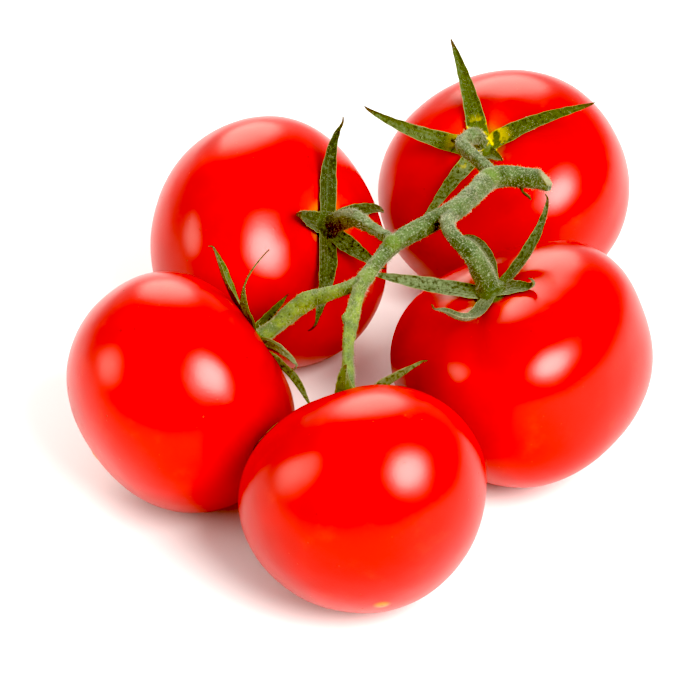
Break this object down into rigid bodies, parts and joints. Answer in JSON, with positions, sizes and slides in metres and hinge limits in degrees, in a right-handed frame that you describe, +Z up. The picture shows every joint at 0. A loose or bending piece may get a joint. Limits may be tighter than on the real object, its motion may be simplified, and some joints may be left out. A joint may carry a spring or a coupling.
{
  "type": "truss of tomatoes",
  "caption": "Ripe vine tomatoes lying on a surface, each with its green calyx, joined by one branched and cut truss stem.",
  "frame": {"origin": "on the surface that the truss lies on, under the middle of its bounding box", "axes": "+Z up from the surface, +Y along the truss towards the stem's cut end, +X across it to the right as seen with +Y away"},
  "size_m": [0.1424, 0.1871, 0.0712],
  "materials": {
    "tomato_skin": "waxy gloss",
    "calyx_green": "matte, finely haired",
    "stem_green": "matte, finely haired"
  },
  "bodies": {
    "root": {"tomato_1": "tomato_skin", "tomato_2": "tomato_skin", "tomato_3": "tomato_skin", "tomato_4": "tomato_skin", "tomato_5": "tomato_skin", "calyx_1": "calyx_green", "calyx_2": "calyx_green", "calyx_3": "calyx_green", "calyx_4": "calyx_green", "calyx_5": "calyx_green", "truss_stem": "stem_green"}
  },
  "joints": []
}
